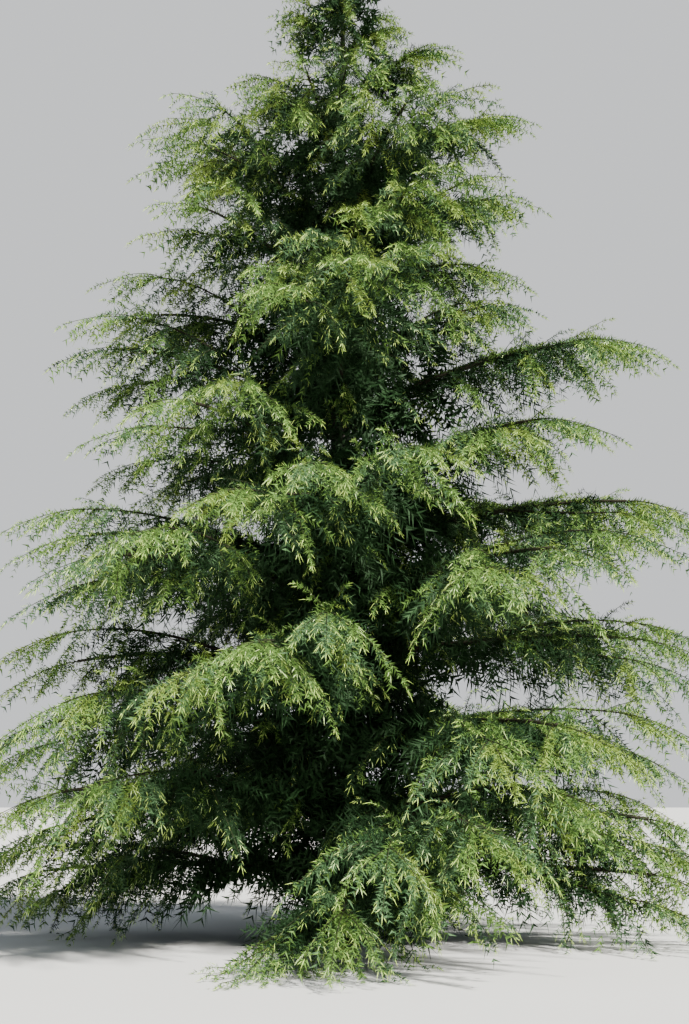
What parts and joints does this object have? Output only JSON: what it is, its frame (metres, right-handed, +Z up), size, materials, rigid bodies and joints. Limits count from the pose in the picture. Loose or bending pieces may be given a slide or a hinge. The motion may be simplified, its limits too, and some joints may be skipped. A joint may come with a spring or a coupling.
{
  "type": "deodar cedar tree",
  "caption": "Whole young deodar cedar: a tapering trunk with a straight leader, and tiers of spreading boughs with drooping fans of needles down to the ground.",
  "frame": {"origin": "centre of the flat cut under the trunk, at ground level", "axes": "+Z up along the trunk, -Y towards the front, +X to the right seen from the front"},
  "size_m": [9.2764, 9.458, 12.3],
  "materials": {
    "bark": "rough, furrowed grey-brown bark",
    "bough_bark": "rough brown bark",
    "needles": "soft blue-green needles with paler new shoots"
  },
  "bodies": {
    "root": {"bough_01a": "bough_bark", "bough_01b": "bough_bark", "bough_01c": "bough_bark", "bough_01d": "bough_bark", "foliage_01a": "needles", "foliage_01b": "needles", "foliage_01c": "needles", "foliage_01d": "needles", "foliage_02a": "needles", "foliage_02b": "needles", "foliage_02c": "needles", "foliage_02d": "needles", "foliage_02e": "needles", "foliage_03a": "needles", "foliage_03b": "needles", "foliage_03c": "needles", "foliage_03d": "needles", "foliage_04a": "needles", "foliage_04b": "needles", "foliage_04c": "needles", "foliage_04d": "needles", "foliage_05a": "needles", "foliage_05b": "needles", "foliage_05c": "needles", "foliage_05d": "needles", "foliage_06a": "needles", "foliage_06b": "needles", "foliage_06c": "needles", "foliage_06d": "needles", "foliage_07a": "needles", "foliage_07b": "needles", "foliage_07c": "needles", "foliage_07d": "needles", "foliage_08a": "needles", "foliage_08b": "needles", "foliage_08c": "needles", "foliage_08d": "needles", "foliage_09a": "needles", "foliage_09b": "needles", "foliage_09c": "needles", "foliage_09d": "needles", "foliage_10a": "needles", "foliage_10b": "needles", "foliage_10c": "needles", "foliage_10d": "needles", "foliage_11a": "needles", "foliage_11b": "needles", "foliage_11c": "needles", "foliage_11d": "needles", "foliage_12a": "needles", "foliage_12b": "needles", "foliage_12c": "needles", "foliage_12d": "needles", "foliage_13a": "needles", "foliage_13b": "needles", "foliage_14a": "needles", "foliage_14b": "needles", "foliage_15a": "needles", "foliage_15b": "needles", "trunk": "bark"}
  },
  "joints": []
}
